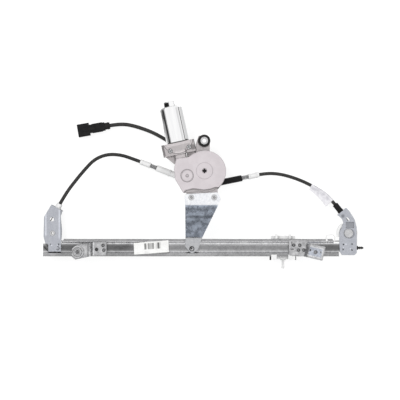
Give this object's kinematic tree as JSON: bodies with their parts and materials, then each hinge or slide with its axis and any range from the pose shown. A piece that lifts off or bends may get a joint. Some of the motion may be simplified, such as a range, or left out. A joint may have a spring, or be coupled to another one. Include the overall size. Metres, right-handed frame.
{
  "type": "window regulator",
  "caption": "Powered cable window regulator: pressed rail with pulleys, sliding window carrier, cable drum and worm-gear motor with its lead and plug.",
  "frame": {"origin": "drum axis on the drum housing's back face", "axes": "+X along the rail, to the right as seen from the front, +Y from the rail to the motor, +Z out of the front"},
  "size_m": [0.5132, 0.2692, 0.047],
  "materials": {
    "galvanised_rail": "galvanised, dull and mottled",
    "galvanised_bracket": "galvanised sheet, soft spangle",
    "bright_zinc": "bright zinc plate",
    "die_cast": "die cast, fine grain",
    "gearbox_cover": "moulded, satin",
    "motor_steel": "drawn can, bright nickel plate",
    "black_rubber": "moulded rubber, dull",
    "black_plastic": "moulded, satin",
    "white_plastic": "moulded, satin",
    "conduit_black": "extruded sheath",
    "cable_wire": "stranded and greased",
    "screw_steel": "zinc plated",
    "ground_steel": "turned",
    "nylon": "moulded nylon",
    "sintered_bronze": "sintered, oily",
    "copper": "enamelled wire and copper bars",
    "laminations": "stacked sheet steel",
    "ferrite": "ceramic magnet",
    "carbon": "pressed carbon"
  },
  "bodies": {
    "frame": {"rail": "galvanised_rail", "left_end_bracket": "galvanised_bracket", "right_end_bracket": "galvanised_bracket", "motor_bracket": "galvanised_bracket", "left_mount_bracket": "bright_zinc", "right_mount_bracket": "bright_zinc", "left_mount_nut": "bright_zinc", "motor_bracket_screws": "screw_steel", "motor_bracket_rivet": "screw_steel", "left_pulley_eyelet": "screw_steel", "right_pulley_rivet": "screw_steel", "right_cable_keeper": "white_plastic", "left_end_ferrule": "white_plastic", "right_end_ferrule": "black_plastic", "left_conduit": "conduit_black", "right_conduit": "conduit_black", "lift_cable": "cable_wire", "left_outlet_tube": "white_plastic", "left_tension_spring": "ground_steel", "right_tension_spring": "ground_steel", "drum_housing": "black_plastic", "gear_housing": "die_cast", "gear_cover": "gearbox_cover", "mounting_grommet": "black_rubber", "grommet_sleeve": "screw_steel", "motor_can": "motor_steel", "tail_bush": "sintered_bronze", "front_bush": "sintered_bronze", "cap_bush": "sintered_bronze", "brush_holder": "black_plastic", "carbon_brushes": "carbon", "motor_magnets": "ferrite", "motor_screws": "screw_steel", "flange_clip": "white_plastic", "end_stop": "black_rubber", "lead_grommet": "black_rubber", "motor_lead": "black_rubber", "plug_boot": "black_rubber", "plug_housing": "black_plastic", "plug_terminals": "ground_steel"},
    "drum": {"cable_drum": "nylon", "drum_windings": "cable_wire", "drive_shaft": "ground_steel", "worm_wheel": "nylon", "drive_plate": "ground_steel", "rubber_damper": "black_rubber"},
    "armature": {"armature_shaft": "ground_steel", "armature_core": "laminations", "armature_windings": "copper", "commutator": "copper"},
    "carrier": {"carrier": "white_plastic", "cable_nipples": "ground_steel", "carrier_insert": "screw_steel", "carrier_buffers": "black_rubber"},
    "left_pulley": {"left_pulley": "nylon"},
    "right_pulley": {"right_pulley": "nylon"},
    "left_ferrule": {"left_tension_ferrule": "white_plastic"},
    "right_ferrule": {"right_tension_ferrule": "white_plastic"}
  },
  "joints": [
    {"name": "drum_spin", "type": "hinge", "parent": "frame", "child": "drum", "pos_m": [0, 0, 0.011], "axis": [0, 0, 1], "range_deg": [-134, 797]},
    {"name": "worm_spin", "type": "hinge", "parent": "frame", "child": "armature", "pos_m": [-0.03129, -0.00671, 0.031], "axis": [-0.2096, 0.9778, 0], "range_deg": [-7380, 43850]},
    {"name": "window_travel", "type": "slide", "parent": "frame", "child": "carrier", "axis": [1, 0, 0], "range_m": [-0.3201, 0.0539]},
    {"name": "left_pulley_spin", "type": "hinge", "parent": "frame", "child": "left_pulley", "pos_m": [-0.2435, -0.0997, 0.011], "axis": [0, 0, 1], "range_deg": [-1456, 246]},
    {"name": "right_pulley_spin", "type": "hinge", "parent": "frame", "child": "right_pulley", "pos_m": [0.2306, -0.0997, 0.011], "axis": [0, 0, 1], "range_deg": [-1456, 246]},
    {"name": "left_tensioner", "type": "slide", "parent": "frame", "child": "left_ferrule", "axis": [0.933, -0.36, 0], "range_m": [0, 0.003], "stiffness_N_per_m": 1500, "deforming": ["left_tension_spring", "left_conduit"]},
    {"name": "right_tensioner", "type": "slide", "parent": "frame", "child": "right_ferrule", "axis": [-0.9799, -0.1994, 0], "range_m": [0, 0.003], "stiffness_N_per_m": 1500, "deforming": ["right_tension_spring", "right_conduit"]}
  ],
  "couplings": [
    {"joint": "worm_spin", "follows": "drum_spin", "ratio": 55},
    {"joint": "window_travel", "follows": "drum_spin", "m_per_rad": -0.023},
    {"joint": "left_pulley_spin", "follows": "drum_spin", "ratio": -1.8254},
    {"joint": "right_pulley_spin", "follows": "drum_spin", "ratio": -1.8254}
  ]
}
